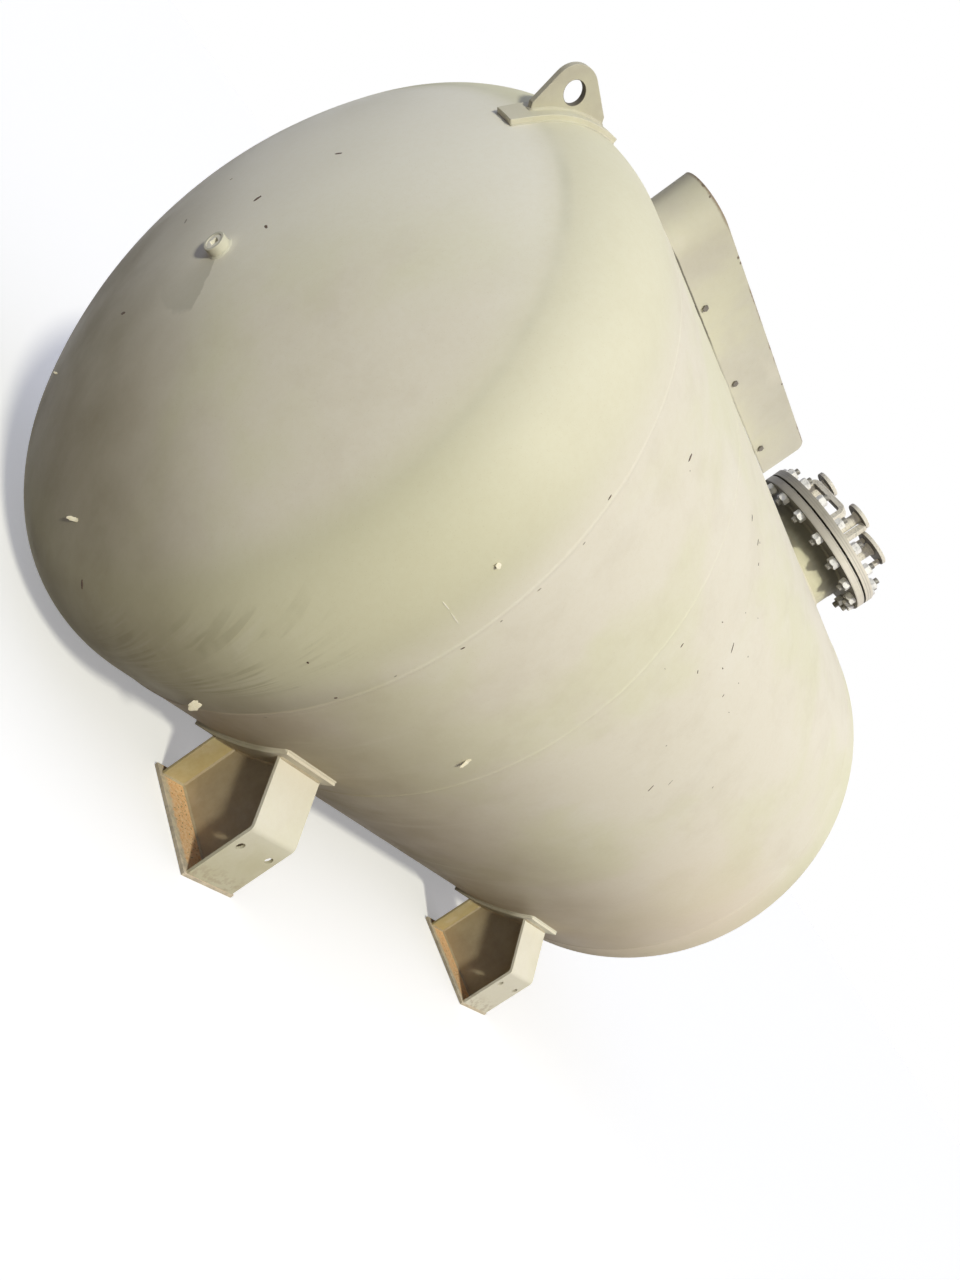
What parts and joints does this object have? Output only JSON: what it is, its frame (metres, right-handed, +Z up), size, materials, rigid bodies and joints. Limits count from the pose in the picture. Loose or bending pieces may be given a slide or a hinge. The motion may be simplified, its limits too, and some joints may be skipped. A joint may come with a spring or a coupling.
{
  "type": "horizontal pressure tank",
  "caption": "Horizontal steel pressure tank with dished heads, a valve guard, a bolted manhole, lifting lugs and four bent-plate feet.",
  "frame": {"origin": "on the floor under the middle of the bounding box", "axes": "+X along the tank from the plugged end to the manhole's end, +Y across it, +Z up"},
  "size_m": [3.2832, 1.8358, 2.191],
  "materials": {
    "cream_paint": "satin",
    "dusty_paint": "matte",
    "zinc": "satin",
    "dull_zinc": "matte",
    "gasket": "matte"
  },
  "bodies": {
    "root": {"shell_course_short": "cream_paint", "shell_course_long": "cream_paint", "head_near": "cream_paint", "head_far": "cream_paint", "seam_beads": "cream_paint", "end_coupling": "cream_paint", "end_plug": "cream_paint", "lug_pads": "cream_paint", "lifting_lugs": "cream_paint", "guard_wall": "cream_paint", "guard_cleats": "cream_paint", "guard_bolts": "dull_zinc", "manhole_neck": "cream_paint", "manhole_flange": "cream_paint", "manhole_gasket": "gasket", "manhole_cover": "cream_paint", "manhole_studs": "zinc", "manhole_nuts_lower": "zinc", "manhole_nuts_upper": "zinc", "tall_stem": "cream_paint", "tall_disc": "cream_paint", "tall_post": "cream_paint", "rear_stem": "cream_paint", "rear_disc": "cream_paint", "front_stem": "cream_paint", "front_disc": "cream_paint", "front_props": "cream_paint", "bridge_handle": "cream_paint", "wrapper_pads": "cream_paint", "base_plates": "dusty_paint", "end_plates": "cream_paint", "foot_webs": "cream_paint", "foot_ribs": "cream_paint"}
  },
  "joints": []
}
